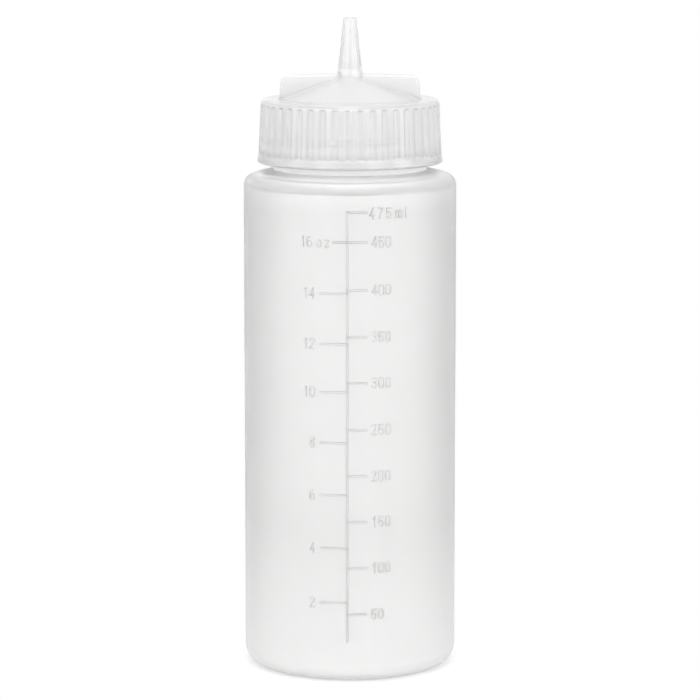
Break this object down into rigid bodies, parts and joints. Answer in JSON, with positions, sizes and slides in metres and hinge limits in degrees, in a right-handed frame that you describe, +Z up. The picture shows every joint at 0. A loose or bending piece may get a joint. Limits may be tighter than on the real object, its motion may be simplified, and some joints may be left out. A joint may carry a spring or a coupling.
{
  "type": "sauce squeeze bottle",
  "caption": "Cylindrical squeeze bottle for sauces with a measuring scale on its front and a fluted screw cap with a grip bar and a tapered open nozzle.",
  "frame": {"origin": "centre of the base, on the surface that the bottle stands on", "axes": "+Z up along the bottle's axis, the measuring scale faces -Y, the cap's grip bar lies along X"},
  "size_m": [0.0671, 0.0672, 0.2061],
  "materials": {
    "bottle_plastic": "satin, milky translucent low-density polyethylene",
    "cap_plastic": "satin, natural low-density polyethylene, a little glossier than the bottle"
  },
  "bodies": {
    "bottle": {"bottle": "bottle_plastic"},
    "cap": {"screw_cap": "cap_plastic"}
  },
  "joints": [
    {"name": "cap_lift", "type": "slide", "parent": "bottle", "child": "cap", "axis": [0, 0, 1], "range_m": [0, 0.06]}
  ]
}
